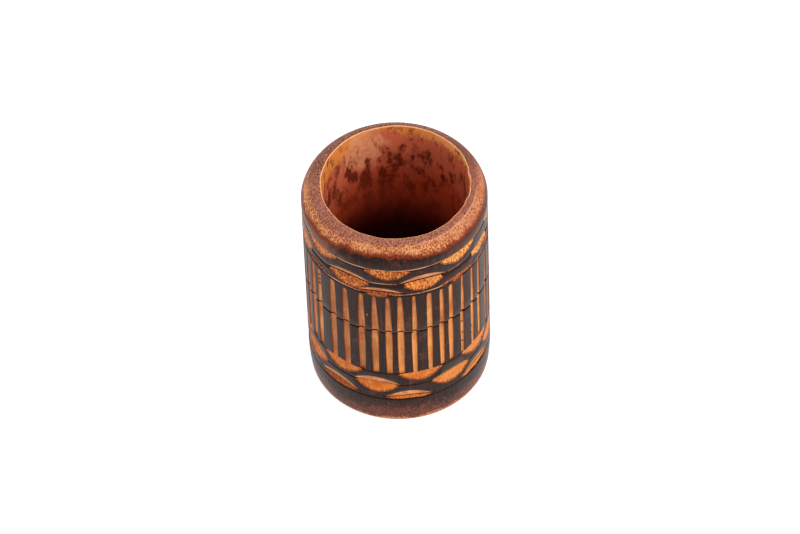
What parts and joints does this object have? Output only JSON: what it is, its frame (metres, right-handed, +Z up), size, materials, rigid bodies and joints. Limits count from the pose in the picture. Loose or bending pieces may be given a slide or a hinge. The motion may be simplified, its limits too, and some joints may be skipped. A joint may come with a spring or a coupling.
{
  "type": "dice cup",
  "caption": "Round carved bamboo dice cup, open at the top, with scribed rings, leaf-shaped chip cuts and upright gouged bars round its side.",
  "frame": {"origin": "centre of the foot, on the surface that the cup stands on", "axes": "+Z up the cup to its mouth; -Y is the side the picture is taken from, and the hollow lies 0.7 mm off the axis towards +X"},
  "size_m": [0.0772, 0.0772, 0.1074],
  "materials": {
    "bamboo_wall": "blackened bamboo skin under a satin varnish, carved through to golden bamboo",
    "base_board": "sanded and oiled laminated bamboo board",
    "floor_leather": "dark brown vegetable-tanned leather, grain side up"
  },
  "bodies": {
    "root": {"culm_wall": "bamboo_wall", "base_disc": "base_board", "leather_floor": "floor_leather"}
  },
  "joints": []
}
